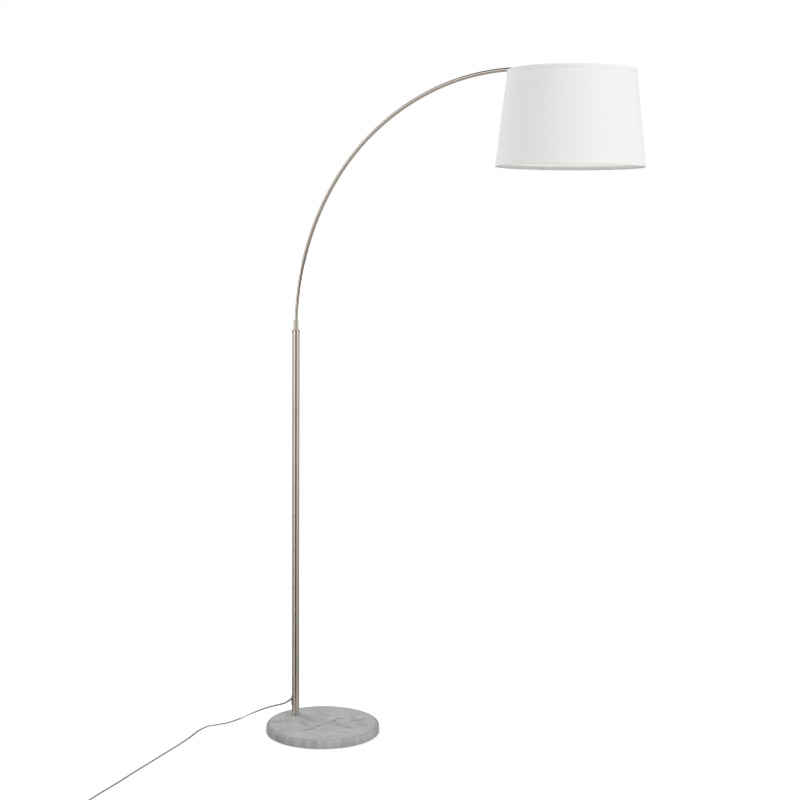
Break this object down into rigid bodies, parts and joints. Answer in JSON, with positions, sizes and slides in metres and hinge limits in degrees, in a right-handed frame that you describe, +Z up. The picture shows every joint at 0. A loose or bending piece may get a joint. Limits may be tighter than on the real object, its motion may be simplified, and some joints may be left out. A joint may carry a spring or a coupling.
{
  "type": "arc floor lamp",
  "caption": "Floor lamp with a round stone base, a straight pole, a long bent arm that swivels and a tilting drum shade with a screw-base bulb and a mains cord.",
  "frame": {"origin": "centre of the stone disc's resting face, on the floor", "axes": "+Z up, +X from the pole along the arm to the shade"},
  "size_m": [1.3041, 1.11, 1.8982],
  "materials": {
    "pad": "matte foam rubber",
    "marble": "polished white marble with grey veins",
    "zinc_steel": "zinc plate",
    "satin_nickel": "satin nickel plate",
    "nylon": "natural nylon",
    "grommet": "satin soft plastic",
    "cord": "clear sleeve over silver strands",
    "tie": "black nylon",
    "plug": "moulded grey plastic",
    "brass": "bare brass",
    "phenolic": "black phenolic",
    "white_wire": "white powder coat",
    "liner": "white styrene sheet",
    "linen": "white linen weave",
    "hem_tape": "folded linen tape",
    "bulb_cap": "bright screw cap",
    "bulb_glass": "frosted glass"
  },
  "bodies": {
    "stand": {"base_pad": "pad", "marble_base": "marble", "base_bolt": "zinc_steel", "base_washer": "zinc_steel", "spring_washer": "zinc_steel", "pole_foot": "zinc_steel", "pole_tube": "satin_nickel", "pole_cap": "satin_nickel", "swivel_bush": "nylon", "cord_grommet": "grommet", "pole_wire": "cord", "cord_tube": "cord", "cord_coil": "cord", "cord_tail": "cord", "cord_tie": "tie", "plug_body": "plug", "plug_blades": "brass"},
    "arm": {"thrust_washer": "nylon", "swivel_spigot": "zinc_steel", "spigot_clip": "zinc_steel", "neck_collar": "satin_nickel", "arm_lower": "satin_nickel", "arm_upper": "satin_nickel", "arm_coupler": "zinc_steel", "arm_wire": "cord", "knuckle_fork": "satin_nickel", "pivot_screw": "satin_nickel", "pivot_nut": "satin_nickel"},
    "shade": {"knuckle_tongue": "satin_nickel", "socket_nipple": "brass", "nipple_nut": "brass", "socket_lead": "cord", "socket_cap": "satin_nickel", "socket_body": "phenolic", "terminal_screws": "brass", "screw_shell": "brass", "centre_contact": "brass", "ring_nut": "phenolic", "switch_bush": "satin_nickel", "shade_frame": "white_wire", "bottom_ring": "white_wire", "shade_liner": "liner", "shade_fabric": "linen", "top_trim": "hem_tape", "bottom_trim": "hem_tape", "bulb_base": "bulb_cap", "bulb_glass": "bulb_glass"},
    "switch": {"switch_shaft": "zinc_steel", "switch_knob": "phenolic"}
  },
  "joints": [
    {"name": "arm_swivel", "type": "hinge", "parent": "stand", "child": "arm", "pos_m": [-0.109, 0, 1.187], "axis": [0, 0, 1], "range_deg": [-175, 175]},
    {"name": "shade_tilt", "type": "hinge", "parent": "arm", "child": "shade", "pos_m": [0.82135, 0, 1.86963], "axis": [0, -1, 0], "range_deg": [-1.5, 30]},
    {"name": "switch_turn", "type": "hinge", "parent": "shade", "child": "switch", "pos_m": [0.82135, 0, 1.83863], "axis": [0.5, -0.866, 0], "continuous": true}
  ]
}
